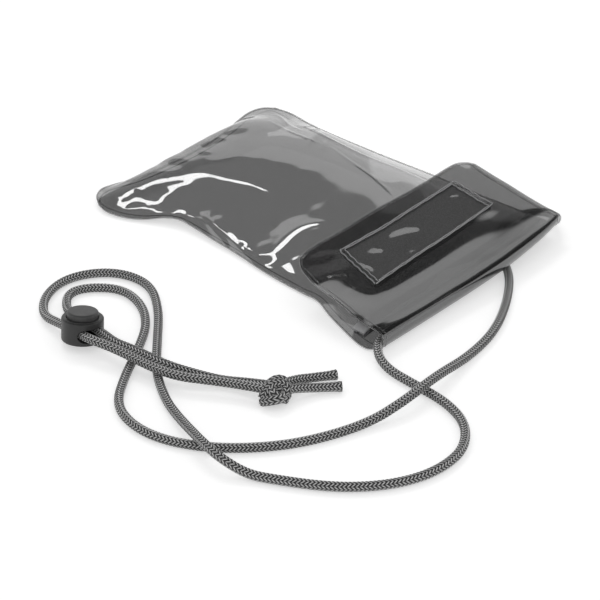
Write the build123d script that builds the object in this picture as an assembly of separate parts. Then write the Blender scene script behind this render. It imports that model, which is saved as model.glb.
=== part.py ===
# Waterproof phone case: a pouch of smoke-tinted film, welded round its edge, with its mouth end
# folded over the front as a flap, a press-to-close zip, a hook-and-loop fastening, and a braided
# neck cord with a sprung cord lock. Millimetres. X runs from the closed end to the fold, Y to the
# far long side, Z up. The origin is at the middle of the pouch, on the surface it lies on.
import os
from math import atan2, cos, pi, radians, sin, tan

from build123d import *

# Film and weld
FILM = 0.5
SEAM = 4.0

# Pouch, lying flat with its flap folded over
LENGTH = 168.0
WIDTH = 115.0
CORNER = 14.0
NEAR_WAIST = 9.0
FAR_WAIST = 1.0
RIM_HEIGHT = 4.2

# Front blister, which holds the phone, and the shallow one at the back
FRONT_RISE = 7.8
END_SLOPE = 15.0
CLOSED_END_RUN = 10.0
SIDE_RUN = 12.0
CROWNED = [(0, 0), (0.45, 0.32), (0.8, 0.66), (1, 1)]
STRAIGHT = [(0, 0), (1, 1)]
TOP_TIGHTER = 0.3
BACK_END_RUN = 8.0
BACK_SIDE_RUN = 7.0
BACK_TO_ZIP = 13.5

# Press-to-close zip
ZIP_WIDTH = 7.0
ZIP_RUN = 1.4
ZIP_FROM_FOLD = 5.3
ZIP_SIDE_MARGIN = 3.0
STRIP_BASE = 0.6
RIB_PITCH = 3.4
RIB_STEM = 0.5
RIB_STEM_HEIGHT = 0.6
RIB_HEAD = 1.1
RIB_HEAD_HEIGHT = 0.6
GROOVE_LIP = 0.25
JAW_WALL = 0.4
ZIP_PLAY = 0.1

# Fold and flap
BIGHT_RADIUS = 2.2
FLAP_BEND_RADIUS = 10.0
FLAP_SLOPE_LENGTH = 20.6
FLAP_CURL_RADIUS = 35.0
FLAP_CURL_ANGLE = 17.0
FLAP_CORNER = 11.0
FLAP_NEAR_TAPER = 7.0
FLAP_FAR_TAPER = 1.5

# Hook and loop pads
PAD_LENGTH = 70.0
PAD_WIDTH = 18.0
PAD_CORNER = 2.0
PAD_CENTRE_Y = 5.0
PAD_UP_SLOPE = 18.4
HOOK_THICKNESS = 1.2
LOOP_THICKNESS = 1.2

# Neck cord
CORD = 3.4
CORD_CLEAR = 0.3

# Cord lock, in its own upright frame: X along the cords, Z up the button
LOCK_X = -2.75
LOCK_Y = -131.0
LOCK_TURN = -9.0
LOCK_LEAN_X = -0.091
LOCK_LEAN_Y = 0.163
BARREL_RADIUS = 8.15
BARREL_HEIGHT = 9.5
BARREL_FLOOR = 0.7
BARREL_EDGE = 0.8
BUTTON_RADIUS = 6.1
BUTTON_CLEAR = 0.3
BUTTON_PROUD = 2.4
BUTTON_CROWN = 0.9
BUTTON_TRAVEL = 1.6
SKIRT_WALL = 0.9
SKIRT_RING = 0.7
WINDOW_WIDTH = 12.0
WINDOW_HEIGHT = 5.3
CORD_SPACING = 7.0
SPRING_WIRE = 0.4
SPRING_RADIUS = 1.2
SPRING_TURNS = 5

# Places that follow from the sizes above
RIM_TOP = RIM_HEIGHT + 2 * FILM
FOLD_RADIUS = BIGHT_RADIUS + 2 * FILM
FOLD_X = LENGTH / 2 - FOLD_RADIUS
FOLD_Z = RIM_TOP + BIGHT_RADIUS
HALF = WIDTH / 2
ZIP_X1 = FOLD_X - ZIP_FROM_FOLD
ZIP_X0 = ZIP_X1 - ZIP_WIDTH
BLISTER_X0 = -LENGTH / 2 + SEAM
BLISTER_X1 = ZIP_X0 - ZIP_RUN
BACK_X1 = BLISTER_X1 - BACK_TO_ZIP
ZIP_RISE = 2 * STRIP_BASE + RIB_STEM_HEIGHT + RIB_HEAD_HEIGHT + ZIP_PLAY
PAD_STACK = HOOK_THICKNESS + LOOP_THICKNESS


def outline(x0, x1, near, far, corner, waist_near=0.0, waist_far=0.0, z=0.0):
    """Level face of the pouch's plan: long sides drawn in to a waist, four rounded corners."""
    middle = (x0 + x1) / 2
    draw_near = Line((x0, -near), (x1, -near))
    if waist_near > 0:
        draw_near = ThreePointArc((x0, -near), (middle, -near + waist_near), (x1, -near))
    draw_far = Line((x1, far), (x0, far))
    if waist_far > 0:
        draw_far = ThreePointArc((x1, far), (middle, far - waist_far), (x0, far))
    sides = [draw_near, Line((x1, -near), (x1, far)), draw_far, Line((x0, far), (x0, -near))]
    plan = make_face(sides)
    return Pos(0, 0, z) * fillet(plan.vertices(), corner)


def blister(z, rise, box, runs, corner, waists, gap, stages):
    """Solid raised on a level plan, or a wall's inner side where gap is more than nothing.

    box is the plan's x0, x1, near and far, and runs is how far each side leans in. Each stage is a
    share of the rise and the share of the lean reached there, and the zip end leans evenly."""
    insets = [gap * tan(atan2(abs(rise), run) / 2) for run in runs]
    x0, x1, near, far = (
        box[0] + insets[0],
        box[1] - insets[1],
        box[2] - insets[2],
        box[3] - insets[3],
    )
    shift = -gap if rise > 0 else gap
    plans = []
    for height, lean in stages:
        tight = 1 - lean * TOP_TIGHTER
        plan = outline(
            x0 + runs[0] * lean,
            x1 - runs[1] * height,
            near - runs[2] * lean,
            far - runs[3] * lean,
            (corner - insets[2]) * tight,
            waists[0] * tight,
            waists[1] * tight,
            z + shift + rise * height,
        )
        plans.append(plan)
    return loft(plans, ruled=len(plans) == 2)


def sheet_edge(depth):
    """One side of a sheet in the XZ plane, depth outward from the inside of the fold."""
    radius = BIGHT_RADIUS + depth
    slope = radians(END_SLOPE)
    curl = radians(FLAP_CURL_ANGLE)
    bend_r = FLAP_BEND_RADIUS - depth
    curl_r = FLAP_CURL_RADIUS - depth
    flat_end = flap_bend_x()
    bend_centre = (flat_end, FOLD_Z + BIGHT_RADIUS + FLAP_BEND_RADIUS)
    start = (-LENGTH / 2, FOLD_Z - radius)
    low = (FOLD_X, FOLD_Z - radius)
    tip = (FOLD_X + radius, FOLD_Z)
    top = (FOLD_X, FOLD_Z + radius)
    bend_a = (flat_end, FOLD_Z + radius)
    bend_m = around(bend_centre, bend_r, slope / 2)
    bend_b = around(bend_centre, bend_r, slope)
    run = (-cos(slope) * FLAP_SLOPE_LENGTH, sin(slope) * FLAP_SLOPE_LENGTH)
    curl_a = (bend_b[0] + run[0], bend_b[1] + run[1])
    curl_centre = (curl_a[0] + curl_r * sin(slope), curl_a[1] + curl_r * cos(slope))
    curl_m = around(curl_centre, curl_r, slope + curl / 2)
    curl_b = around(curl_centre, curl_r, slope + curl)
    lines = [
        Line(start, low),
        ThreePointArc(low, tip, top),
        Line(top, bend_a),
        ThreePointArc(bend_a, bend_m, bend_b),
        Line(bend_b, curl_a),
        ThreePointArc(curl_a, curl_m, curl_b),
    ]
    return lines, start, curl_b


def around(centre, radius, angle):
    """Point below a centre, swung by an angle towards the closed end."""
    return (centre[0] - radius * sin(angle), centre[1] - radius * cos(angle))


def flap_bend_x():
    """Where the flap leaves the level and follows the front blister's slope, a pad stack above it."""
    slope = radians(END_SLOPE)
    climb = 2 * BIGHT_RADIUS - PAD_STACK / cos(slope)
    return BLISTER_X1 - climb / tan(slope) + FLAP_BEND_RADIUS * tan(slope / 2)


def sheet_band(inner, outer):
    """A folded sheet as wide as the pouch, between two depths, with its plan not yet cut."""
    inner_lines, inner_start, inner_end = sheet_edge(inner)
    outer_lines, outer_start, outer_end = sheet_edge(outer)
    ends = [Line(inner_start, outer_start), Line(inner_end, outer_end)]
    profile = Plane.XZ * make_face(inner_lines + outer_lines + ends)
    return extrude(profile, amount=HALF, both=True)


def plan_cut():
    """Everything inside the pouch's plan, and above the fold's middle inside the flap's."""
    body = outline(-LENGTH / 2, 2 * LENGTH, HALF, HALF, CORNER, z=-1)
    waist = outline(-LENGTH / 2, LENGTH / 2, HALF, HALF, CORNER, NEAR_WAIST, FAR_WAIST, z=-1)
    fold_end = Pos(FOLD_X, 0, -1) * Rectangle(4 * CORNER, WIDTH)
    lower = extrude((waist + fold_end) & body, amount=FOLD_Z + 1)
    flap_end = sheet_edge(2 * FILM)[2][0]
    corners = [
        (FOLD_X - 2 * CORNER, -HALF),
        (LENGTH, -HALF),
        (LENGTH, HALF),
        (FOLD_X - 2 * CORNER, HALF),
        (flap_end, HALF - FLAP_FAR_TAPER),
        (flap_end, -HALF + FLAP_NEAR_TAPER),
    ]
    flap = make_face(Polyline(*corners, close=True))
    rounded = flap.vertices().sort_by(Axis.X)[:2]
    upper = extrude(Pos(0, 0, FOLD_Z) * fillet(rounded, FLAP_CORNER), amount=LENGTH / 2)
    return lower + upper


def front_sheet():
    """Inner sheet at the fold: front of the pouch, raised over the phone and over the zip."""
    end_run = FRONT_RISE / tan(radians(END_SLOPE))
    box = (BLISTER_X0, BLISTER_X1, HALF - SEAM, HALF - SEAM)
    runs = (CLOSED_END_RUN, end_run, SIDE_RUN, SIDE_RUN)
    waists = (NEAR_WAIST, FAR_WAIST)
    corner = CORNER - SEAM / 2
    phone = [RIM_TOP, FRONT_RISE, box, runs, corner, waists]
    zip_box = (ZIP_X0 - ZIP_RUN / 2, ZIP_X1 + ZIP_RUN / 2, HALF - SEAM, HALF - SEAM)
    zip_runs = (ZIP_RUN / 2, ZIP_RUN / 2, ZIP_SIDE_MARGIN, ZIP_SIDE_MARGIN)
    seal = [RIM_TOP, ZIP_RISE, zip_box, zip_runs, ZIP_RUN, (0, 0)]
    band = sheet_band(0, FILM) & plan_cut()
    band = band + blister(*phone, 0, CROWNED) + blister(*seal, 0, STRAIGHT)
    return band - blister(*phone, FILM, CROWNED) - blister(*seal, FILM, STRAIGHT)


def back_sheet():
    """Outer sheet at the fold: back of the pouch, with a shallow blister that it lies on."""
    box = (BLISTER_X0, BACK_X1, HALF - SEAM, HALF - SEAM)
    runs = (BACK_END_RUN, BACK_END_RUN, BACK_SIDE_RUN, BACK_SIDE_RUN)
    shallow = [RIM_HEIGHT, -RIM_HEIGHT, box, runs, CORNER - SEAM / 2, (NEAR_WAIST, FAR_WAIST)]
    band = sheet_band(FILM, 2 * FILM) & plan_cut()
    return band + blister(*shallow, 0, STRAIGHT) - blister(*shallow, FILM, STRAIGHT)


def zip_strips():
    """Two moulded strips: barbed ribs under the front sheet, hooked grooves on the back sheet."""
    floor = RIM_HEIGHT + FILM
    roof = floor + ZIP_RISE
    middle = (ZIP_X0 + ZIP_X1) / 2
    width = ZIP_WIDTH - 2 * FILM
    length = WIDTH - 2 * SEAM - 2 * ZIP_SIDE_MARGIN - 2 * FILM
    rib_strip = Pos(middle, 0, roof - STRIP_BASE / 2) * Box(width, length, STRIP_BASE)
    groove_strip = Pos(middle, 0, floor + STRIP_BASE / 2) * Box(width, length, STRIP_BASE)
    neck = roof - STRIP_BASE - RIB_STEM_HEIGHT
    for side in (-1, 1):
        x = middle + side * RIB_PITCH / 2
        rib = [
            (-RIB_STEM / 2, roof - STRIP_BASE),
            (-RIB_STEM / 2, neck),
            (-RIB_HEAD / 2, neck),
            (-RIB_STEM / 2, neck - RIB_HEAD_HEIGHT),
            (RIB_STEM / 2, neck - RIB_HEAD_HEIGHT),
            (RIB_HEAD / 2, neck),
            (RIB_STEM / 2, neck),
            (RIB_STEM / 2, roof - STRIP_BASE),
        ]
        face = Plane.XZ * make_face(Polyline(*rib, close=True))
        rib_strip += Pos(x, 0, 0) * extrude(face, amount=length / 2, both=True)
        for hand in (-1, 1):
            inside = RIB_HEAD / 2 + ZIP_PLAY
            lip = RIB_STEM / 2 + ZIP_PLAY
            jaw_top = roof - STRIP_BASE - ZIP_PLAY
            jaw = [
                (hand * inside, floor + STRIP_BASE),
                (hand * (inside + JAW_WALL), floor + STRIP_BASE),
                (hand * (inside + JAW_WALL), jaw_top),
                (hand * lip, jaw_top),
                (hand * lip, jaw_top - GROOVE_LIP),
                (hand * inside, jaw_top - GROOVE_LIP),
            ]
            face = Plane.XZ * make_face(Polyline(*jaw, close=True))
            groove_strip += Pos(x, 0, 0) * extrude(face, amount=length / 2, both=True)
    return rib_strip, groove_strip


def pads():
    """Loop pad on the front blister's slope, hook pad on it, under the flap."""
    slope = radians(END_SLOPE)
    foot = Vector(BLISTER_X1, PAD_CENTRE_Y, RIM_TOP)
    up = Vector(-cos(slope), 0, sin(slope))
    normal = Vector(sin(slope), 0, cos(slope))
    plane = Plane(foot + up * PAD_UP_SLOPE, x_dir=Vector(0, -1, 0), z_dir=normal)
    plan = RectangleRounded(PAD_LENGTH, PAD_WIDTH, PAD_CORNER)
    loop = plane * extrude(plan, amount=LOOP_THICKNESS)
    hook = plane * Pos(0, 0, LOOP_THICKNESS) * extrude(plan, amount=HOOK_THICKNESS)
    return loop, hook


def lock_place():
    """Frame of the cord lock: it rests on one edge of its base, leaning away from the loop."""
    lean = Vector(LOCK_LEAN_X, LOCK_LEAN_Y, 1).normalized()
    turn = radians(LOCK_TURN)
    along = Vector(cos(turn), sin(turn), 0)
    along = (along - lean * along.dot(lean)).normalized()
    lift = BARREL_RADIUS * (1 - lean.Z**2) ** 0.5
    return Plane(Vector(LOCK_X, LOCK_Y, lift), x_dir=along, z_dir=lean)


def window(width, low):
    """Slot for the two cords, right through along X, its lower side at a height."""
    face = Plane.YZ * Pos(0, low + WINDOW_HEIGHT / 2) * SlotOverall(width, WINDOW_HEIGHT)
    return extrude(face, amount=2 * BARREL_RADIUS, both=True)


def cord_height():
    """Height of the two cords in the lock, between the skirt's ring and the barrel's window."""
    return ring_low() + SKIRT_RING + CORD_CLEAR / 2 + CORD / 2


def ring_low():
    """Lowest height of the button's ring at rest, its travel above the barrel's floor."""
    return BARREL_FLOOR + BUTTON_TRAVEL + CORD_CLEAR / 3


def cord_lock():
    """Barrel, button and spring, in the lock's own frame."""
    window_top = cord_height() + CORD / 2 + CORD_CLEAR / 2
    bore = BUTTON_RADIUS + BUTTON_CLEAR
    barrel = Cylinder(BARREL_RADIUS, BARREL_HEIGHT, align=(Align.CENTER, Align.CENTER, Align.MIN))
    barrel = fillet(barrel.edges().filter_by(GeomType.CIRCLE), BARREL_EDGE)
    well = Pos(0, 0, BARREL_FLOOR) * Cylinder(
        bore, BARREL_HEIGHT, align=(Align.CENTER, Align.CENTER, Align.MIN)
    )
    barrel = barrel - well - window(WINDOW_WIDTH, window_top - WINDOW_HEIGHT)

    low = ring_low()
    top = BARREL_HEIGHT + BUTTON_PROUD
    button = Pos(0, 0, low) * Cylinder(
        BUTTON_RADIUS, top - low, align=(Align.CENTER, Align.CENTER, Align.MIN)
    )
    button = fillet(button.edges().filter_by(GeomType.CIRCLE).sort_by(Axis.Z)[-1:], BUTTON_CROWN)
    hollow_top = cord_height() + CORD / 2 + BUTTON_TRAVEL + CORD_CLEAR
    hollow = Pos(0, 0, low - 1) * Cylinder(
        BUTTON_RADIUS - SKIRT_WALL,
        hollow_top - low + 1,
        align=(Align.CENTER, Align.CENTER, Align.MIN),
    )
    button = button - hollow
    opening = Pos(0, 0, low + SKIRT_RING) * Box(
        3 * BUTTON_RADIUS,
        CORD_SPACING + CORD + CORD_CLEAR,
        hollow_top - low - SKIRT_RING,
        align=(Align.CENTER, Align.CENTER, Align.MIN),
    )
    button = button - opening
    pin = Pos(0, 0, hollow_top) * Cylinder(
        SPRING_RADIUS - SPRING_WIRE,
        2 * SPRING_WIRE,
        align=(Align.CENTER, Align.CENTER, Align.MAX),
    )
    button = button + pin

    free = hollow_top - BARREL_FLOOR - SPRING_WIRE
    helix = Helix(free / SPRING_TURNS, free, SPRING_RADIUS)
    wire = Plane(helix @ 0, z_dir=helix % 0) * Circle(SPRING_WIRE / 2)
    spring = Pos(0, 0, BARREL_FLOOR + SPRING_WIRE / 2) * sweep(wire, path=helix)
    return barrel, button, spring


# Neck cord's route, chosen by hand from knot to knot. It goes through the lock, round its first
# loop, through the fold, back under the raised far corner, round its second loop and through the
# lock again. It rests on the surface at half its own thickness, apart from its humps.
REST = CORD / 2
HUMP = REST + 2 * CORD
FIRST_FROM_KNOT = [
    (75.4, -111.0, 5.6),
    (66.5, -114.6, 5.6),
    (56.5, -120.6, 6.5),
    (46.5, -127.4, HUMP),
    (34.5, -129.8, HUMP),
    (22.5, -131.2, HUMP),
]
FIRST_LOOP = [
    (-26.0, -131.0, REST),
    (-36.6, -121.5, REST),
    (-41.0, -108.0, REST),
    (-36.6, -95.5, REST),
    (-26.5, -87.2, REST),
    (-12.0, -86.4, REST),
    (3.5, -96.8, REST),
    (18.0, -111.2, REST),
    (37.0, -129.4, REST),
    (56.0, -138.8, REST),
    (73.0, -146.2, HUMP),
    (90.0, -149.6, HUMP),
    (108.5, -145.6, REST),
    (128.9, -134.7, REST),
    (140.4, -123.4, REST),
    (147.6, -111.0, REST),
    (150.3, -98.0, REST),
    (148.4, -84.9, REST),
    (139.4, -73.2, REST),
    (125.4, -67.6, REST),
    (108.0, -67.4, REST),
    (96.5, -70.2, 2.6),
    (86.4, -68.4, 5.3),
]
IN_FOLD = [
    (FOLD_X + 0.1, -60.5, FOLD_Z),
    (FOLD_X + 0.1, -36.0, FOLD_Z + 0.1),
    (FOLD_X - 0.2, -3.0, FOLD_Z),
    (FOLD_X + 0.1, 30.0, FOLD_Z - 0.1),
    (FOLD_X, 60.5, FOLD_Z - 0.1),
]
BEHIND = [
    (78.0, 70.4, 5.0),
    (69.6, 75.4, 2.8),
    (61.2, 70.6, REST),
    (58.2, 60.0, REST),
    (59.6, 47.0, REST),
    (64.4, 35.5, REST),
    (74.0, 27.2, REST),
]
SECOND_LOOP = [
    (86.0, 19.5, REST),
    (98.5, 2.0, REST),
    (108.6, -18.6, REST),
    (112.4, -39.5, REST),
    (112.9, -59.5, HUMP),
    (114.2, -77.0, HUMP),
    (113.2, -97.0, REST),
    (105.8, -120.0, REST),
    (95.4, -135.2, REST),
    (82.1, -147.0, REST),
    (66.3, -154.8, REST),
    (51.5, -156.2, REST),
    (38.6, -151.0, REST),
    (28.2, -137.5, REST),
    (18.8, -122.3, REST),
    (8.0, -107.2, REST),
    (-5.0, -98.2, REST),
    (-19.0, -96.0, REST),
    (-29.8, -102.6, REST),
    (-32.6, -113.6, REST),
    (-25.4, -122.6, 2.4),
]
SECOND_TO_KNOT = [
    (24.5, -126.4, HUMP),
    (38.0, -125.2, HUMP),
    (47.5, -120.4, 5.0),
    (56.5, -114.2, REST),
    (66.0, -109.6, 3.2),
    (73.6, -107.4, 4.6),
]
TAILS = [
    [(76.9, -103.8, 4.8), (77.0, -97.4, 3.6), (79.6, -90.6, 2.0), (84.8, -82.4, REST)],
    [(80.8, -105.0, 4.8), (82.4, -99.6, 3.6), (86.0, -93.4, 2.0), (91.4, -86.8, REST)],
]
ARC_SHARE = 0.45
LOCK_LINE = (15.0, -9.5)


def route():
    """Every point of the neck cord, with the straight stretch through the lock at each pass."""
    place = lock_place()
    ends = []
    for side in (-1, 1):
        line = [Vector(x, side * CORD_SPACING / 2, cord_height()) for x in LOCK_LINE]
        ends.append([tuple(place.from_local_coords(point)) for point in line])
    first = FIRST_FROM_KNOT + ends[0] + FIRST_LOOP
    return first + IN_FOLD + BEHIND + SECOND_LOOP + ends[1][::-1] + SECOND_TO_KNOT


def arc_radii(points):
    """Radius at each corner of a route: a share of its shorter run over the half turn's tangent."""
    radii = []
    for before, here, after in zip(points, points[1:], points[2:]):
        into = Vector(*here) - Vector(*before)
        out = Vector(*after) - Vector(*here)
        turn = radians(into.get_angle(out))
        radii.append(ARC_SHARE * min(into.length, out.length) / tan(turn / 2))
    return radii


def tube(points):
    """A cord's plain solid: straight runs joined by tangent arcs."""
    path = FilletPolyline(*points, radius=arc_radii(points))
    start = Plane(path @ 0, z_dir=path % 0)
    return sweep(start * Circle(CORD / 2), path=path), path


KNOT_CENTRE = (78.0, -107.6, 5.3)
KNOT_CORE = 3.6
KNOT_TURN_RADIUS = 3.0
KNOT_TURNS = [
    ((0.3, 0.2, 0.1), (72, 18, 30)),
    ((-0.3, 0.3, -0.2), (64, -14, 95)),
    ((0.2, -0.4, 0.2), (28, 55, 10)),
]


def knot():
    """Overhand knot pulled tight in both strands: rounded turns of cord about a full core."""
    body = Sphere(KNOT_CORE)
    for shift, turn in KNOT_TURNS:
        body += Pos(*shift) * Rot(*turn) * Torus(KNOT_TURN_RADIUS, REST)
    return Pos(*KNOT_CENTRE) * body


def report_cord(name, points, path, solid):
    """Prints a cord's radii and sets its volume against section times length."""
    radii = arc_radii(points)
    share = solid.volume / (pi * REST**2 * path.length)
    print(name, "points", len(points), "length", round(path.length, 1), "volume share", round(share, 4))
    print("  radii", [round(radius, 1) for radius in radii])
    for before, here, after in zip(points, points[1:], points[2:]):
        first = (Vector(*here) - Vector(*before)).length
        second = (Vector(*after) - Vector(*here)).length
        turn = (Vector(*here) - Vector(*before)).get_angle(Vector(*after) - Vector(*here))
        if max(first, second) > 2.05 * min(first, second) or turn > 60:
            print("  uneven or sharp at", here, round(first, 1), round(second, 1), round(turn))


def main():
    """Builds each piece and writes it to its own file."""
    pieces = {"front_sheet": front_sheet(), "back_sheet": back_sheet()}
    pieces["zip_rib_strip"], pieces["zip_groove_strip"] = zip_strips()
    pieces["loop_pad"], pieces["hook_pad"] = pads()
    place = Location(lock_place())
    barrel, button, spring = cord_lock()
    pieces["cord_lock_barrel"] = place * barrel
    pieces["cord_lock_button"] = place * button
    pieces["cord_lock_spring"] = place * spring

    points = route()
    cord, path = tube(points)
    report_cord("neck_cord", points, path, cord)
    body = knot() - cord
    pieces["neck_cord"] = cord
    for number, tail in enumerate(TAILS, 1):
        solid, line = tube(tail)
        report_cord(f"cord_tail_{number}", tail, line, solid)
        body -= solid
        pieces[f"cord_tail_{number}"] = solid
    pieces["cord_knot"] = body

    os.makedirs("parts", exist_ok=True)
    for name, shape in pieces.items():
        print(name, shape.is_valid, len(shape.solids()), round(shape.volume, 1))
        export_step(shape, f"parts/{name}.step")


main()
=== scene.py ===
# Waterproof phone case, as it lies in the photograph: a pouch of smoke-tinted film, its mouth end
# folded over as a flap, with a braided neck cord, a knot and a push-button cord lock.
import math

import bpy
import numpy as np
from mathutils import Matrix, Vector
from mathutils.bvhtree import BVHTree


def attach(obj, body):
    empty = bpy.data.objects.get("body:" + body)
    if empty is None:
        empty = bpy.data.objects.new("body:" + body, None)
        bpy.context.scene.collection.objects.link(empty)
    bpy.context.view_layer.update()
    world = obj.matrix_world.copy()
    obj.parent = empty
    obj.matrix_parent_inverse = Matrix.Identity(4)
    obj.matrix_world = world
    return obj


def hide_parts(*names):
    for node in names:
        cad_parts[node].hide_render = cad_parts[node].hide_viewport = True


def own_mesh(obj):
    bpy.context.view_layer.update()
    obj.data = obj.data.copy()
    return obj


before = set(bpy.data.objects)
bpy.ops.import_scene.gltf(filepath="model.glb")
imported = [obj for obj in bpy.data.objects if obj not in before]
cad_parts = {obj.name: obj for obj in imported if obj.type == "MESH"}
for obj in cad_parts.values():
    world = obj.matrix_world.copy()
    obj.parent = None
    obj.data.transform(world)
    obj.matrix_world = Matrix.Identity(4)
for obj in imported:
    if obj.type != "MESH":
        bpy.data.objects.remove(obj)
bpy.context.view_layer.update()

# Camera
# It looks down 32 degrees at a point beside the pouch's near long side, from 0.8 m away.
AIM = Vector((0.0365, -0.0514, 0.0))
DISTANCE = 0.8
TURN = math.radians(43.5)
CLIMB = math.radians(32.0)
back = Vector((math.sin(TURN) * math.cos(CLIMB), -math.cos(TURN) * math.cos(CLIMB), math.sin(CLIMB)))
right = Vector((math.cos(TURN), math.sin(TURN), 0.0))
up = back.cross(right)
camera_data = bpy.data.cameras.new("camera")
camera_data.lens = 121.2
camera_data.sensor_width = 36.0
camera_data.clip_start = 0.01
camera = bpy.data.objects.new("camera", camera_data)
facing_aim = Matrix((right, up, back)).transposed().to_4x4()
camera.matrix_world = Matrix.Translation(AIM + back * DISTANCE) @ facing_aim
bpy.context.collection.objects.link(camera)
bpy.context.scene.camera = camera
bpy.context.scene.view_settings.view_transform = "Standard"


# Neck cord
# One limp cord of round braid, 3.4 mm thick, yarn over yarn in chevrons. It goes from the knot
# through the lock, round a loop, through the fold, back under the far corner and round again.
CORD = 0.0034
BRAID_COLUMNS = 10
POINTS_PER_COLUMN = 3
STITCH = 0.00145
SLANT = 0.9
YARN_SINK = 0.00012
YARN_RISE = 0.00026
YARN_ROUNDING = 0.5
END_SWELLS_OVER = 0.0022
NECK_CORD = [
    (75.4, -111.0, 5.4), (66.5, -114.6, 5.0), (56.5, -120.6, 5.2), (46.5, -127.4, 5.5),
    (34.5, -129.6, 5.3), (22.5, -130.8, 5.9), (14.5, -133.0, 7.2), (6.5, -135.1, 7.5),
    (-13.1, -132.3, 4.4), (-26.0, -131.0, 1.9), (-36.6, -121.5, 1.7), (-41.0, -108.0, 1.7),
    (-36.6, -95.5, 1.7),
    (-26.5, -87.2, 1.7), (-12.0, -86.4, 1.7), (3.5, -96.8, 1.7), (18.0, -111.2, 1.7),
    (34.5, -127.5, 1.7), (50.3, -137.3, 1.7), (61.5, -141.6, 1.9), (74.0, -147.0, 4.8),
    (84.8, -151.2, 6.8), (94.8, -152.2, 5.6), (103.5, -148.8, 1.9), (111.0, -145.2, 1.7),
    (128.9, -134.7, 1.7), (140.4, -123.4, 1.7), (147.6, -111.0, 1.7),
    (150.3, -98.0, 1.7), (148.4, -84.9, 1.7), (139.4, -73.2, 1.7), (125.4, -67.6, 1.7),
    (108.2, -67.0, 1.7), (96.5, -66.6, 2.0), (87.9, -63.2, 3.0), (81.4, -55.5, 3.8),
    (80.9, -36.0, 4.2), (81.2, -3.0, 5.6), (81.4, 30.0, 8.0), (80.3, 50.0, 8.6),
    (77.5, 60.0, 6.8), (70.5, 66.5, 4.4), (62.5, 65.5, 2.4), (58.0, 57.5, 1.7),
    (59.6, 47.0, 1.7), (64.4, 35.5, 1.7), (74.0, 27.2, 1.7), (86.0, 19.5, 1.7),
    (98.5, 2.0, 1.7), (108.6, -18.6, 1.7), (112.4, -39.5, 1.7), (115.2, -61.5, 5.4),
    (117.2, -80.6, 5.4), (113.8, -97.6, 1.7), (105.8, -120.0, 1.7), (95.4, -135.2, 1.7),
    (82.1, -147.6, 1.7), (66.3, -155.4, 1.7), (51.5, -156.2, 1.7), (38.6, -151.0, 1.7),
    (28.2, -137.5, 1.7), (18.8, -122.3, 1.7), (8.0, -107.2, 1.7), (-5.0, -98.2, 1.7),
    (-19.0, -96.0, 1.7), (-30.0, -104.8, 1.7), (-31.8, -113.6, 1.7), (-21.8, -122.6, 2.6),
    (-12.0, -125.5, 4.8), (6.5, -128.1, 6.9), (14.5, -129.7, 7.2), (24.5, -127.2, 6.7),
    (38.0, -125.8, 6.2), (47.5, -120.4, 4.0), (56.5, -114.2, 1.9), (66.0, -109.6, 3.2),
    (73.6, -107.4, 4.6),
]


def spline_line(name, points):
    """Points, in metres, of a smooth spline with the chosen millimetre points as its controls."""
    curve = bpy.data.curves.new(name, "CURVE")
    curve.dimensions = "3D"
    curve.resolution_u = 24
    spline = curve.splines.new("NURBS")
    spline.points.add(len(points) - 1)
    for spot, point in zip(spline.points, points):
        spot.co = (point[0] / 1000, point[1] / 1000, point[2] / 1000, 1.0)
    spline.order_u = 3
    spline.use_endpoint_u = True
    holder = bpy.data.objects.new(name, curve)
    bpy.context.collection.objects.link(holder)
    read = bpy.data.meshes.new_from_object(holder)
    line = np.array([tuple(v.co) for v in read.vertices])
    bpy.data.meshes.remove(read)
    bpy.data.objects.remove(holder)
    bpy.data.curves.remove(curve)
    return line


def run_along(line):
    """How far along a line each of its points is."""
    return np.concatenate([[0], np.cumsum(np.linalg.norm(np.diff(line, axis=0), axis=1))])


def spread(line, count):
    """The same line with that many points, evenly apart, and how far along each one is."""
    run = run_along(line)
    at = np.linspace(0, run[-1], count)
    return np.stack([np.interp(at, run, line[:, k]) for k in range(3)], 1), at


def even_line(line, step):
    """The same line with its points about a step apart, and how far along each one is."""
    return spread(line, max(3, int(round(run_along(line)[-1] / step)) + 1))


def carried_frames(line):
    """Two directions across a line at each point, turned as little as possible along it."""
    along = np.gradient(line, axis=0)
    along /= np.linalg.norm(along, axis=1)[:, None]
    side = np.cross(along[0], (0, 0, 1))
    if np.linalg.norm(side) < 1e-6:
        side = np.cross(along[0], (0, 1, 0))
    sides = [side / np.linalg.norm(side)]
    for t in along[1:]:
        s = sides[-1] - t * np.dot(sides[-1], t)
        sides.append(s / np.linalg.norm(s))
    sides = np.array(sides)
    return sides, np.cross(sides, along)


def place(name, mesh):
    """Puts a mesh in the scene as a piece."""
    piece = bpy.data.objects.new(name, mesh)
    bpy.context.collection.objects.link(piece)
    return piece


def round_rings(points, radius, angle):
    """Rings of points round a line, at a radius that may be a number or differ from point to point."""
    sides, ups = carried_frames(points)
    radius = np.broadcast_to(radius, (len(points), len(angle)))[..., None]
    return (
        points[:, None]
        + radius * np.cos(angle)[None, :, None] * sides[:, None]
        + radius * np.sin(angle)[None, :, None] * ups[:, None]
    )


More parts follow.
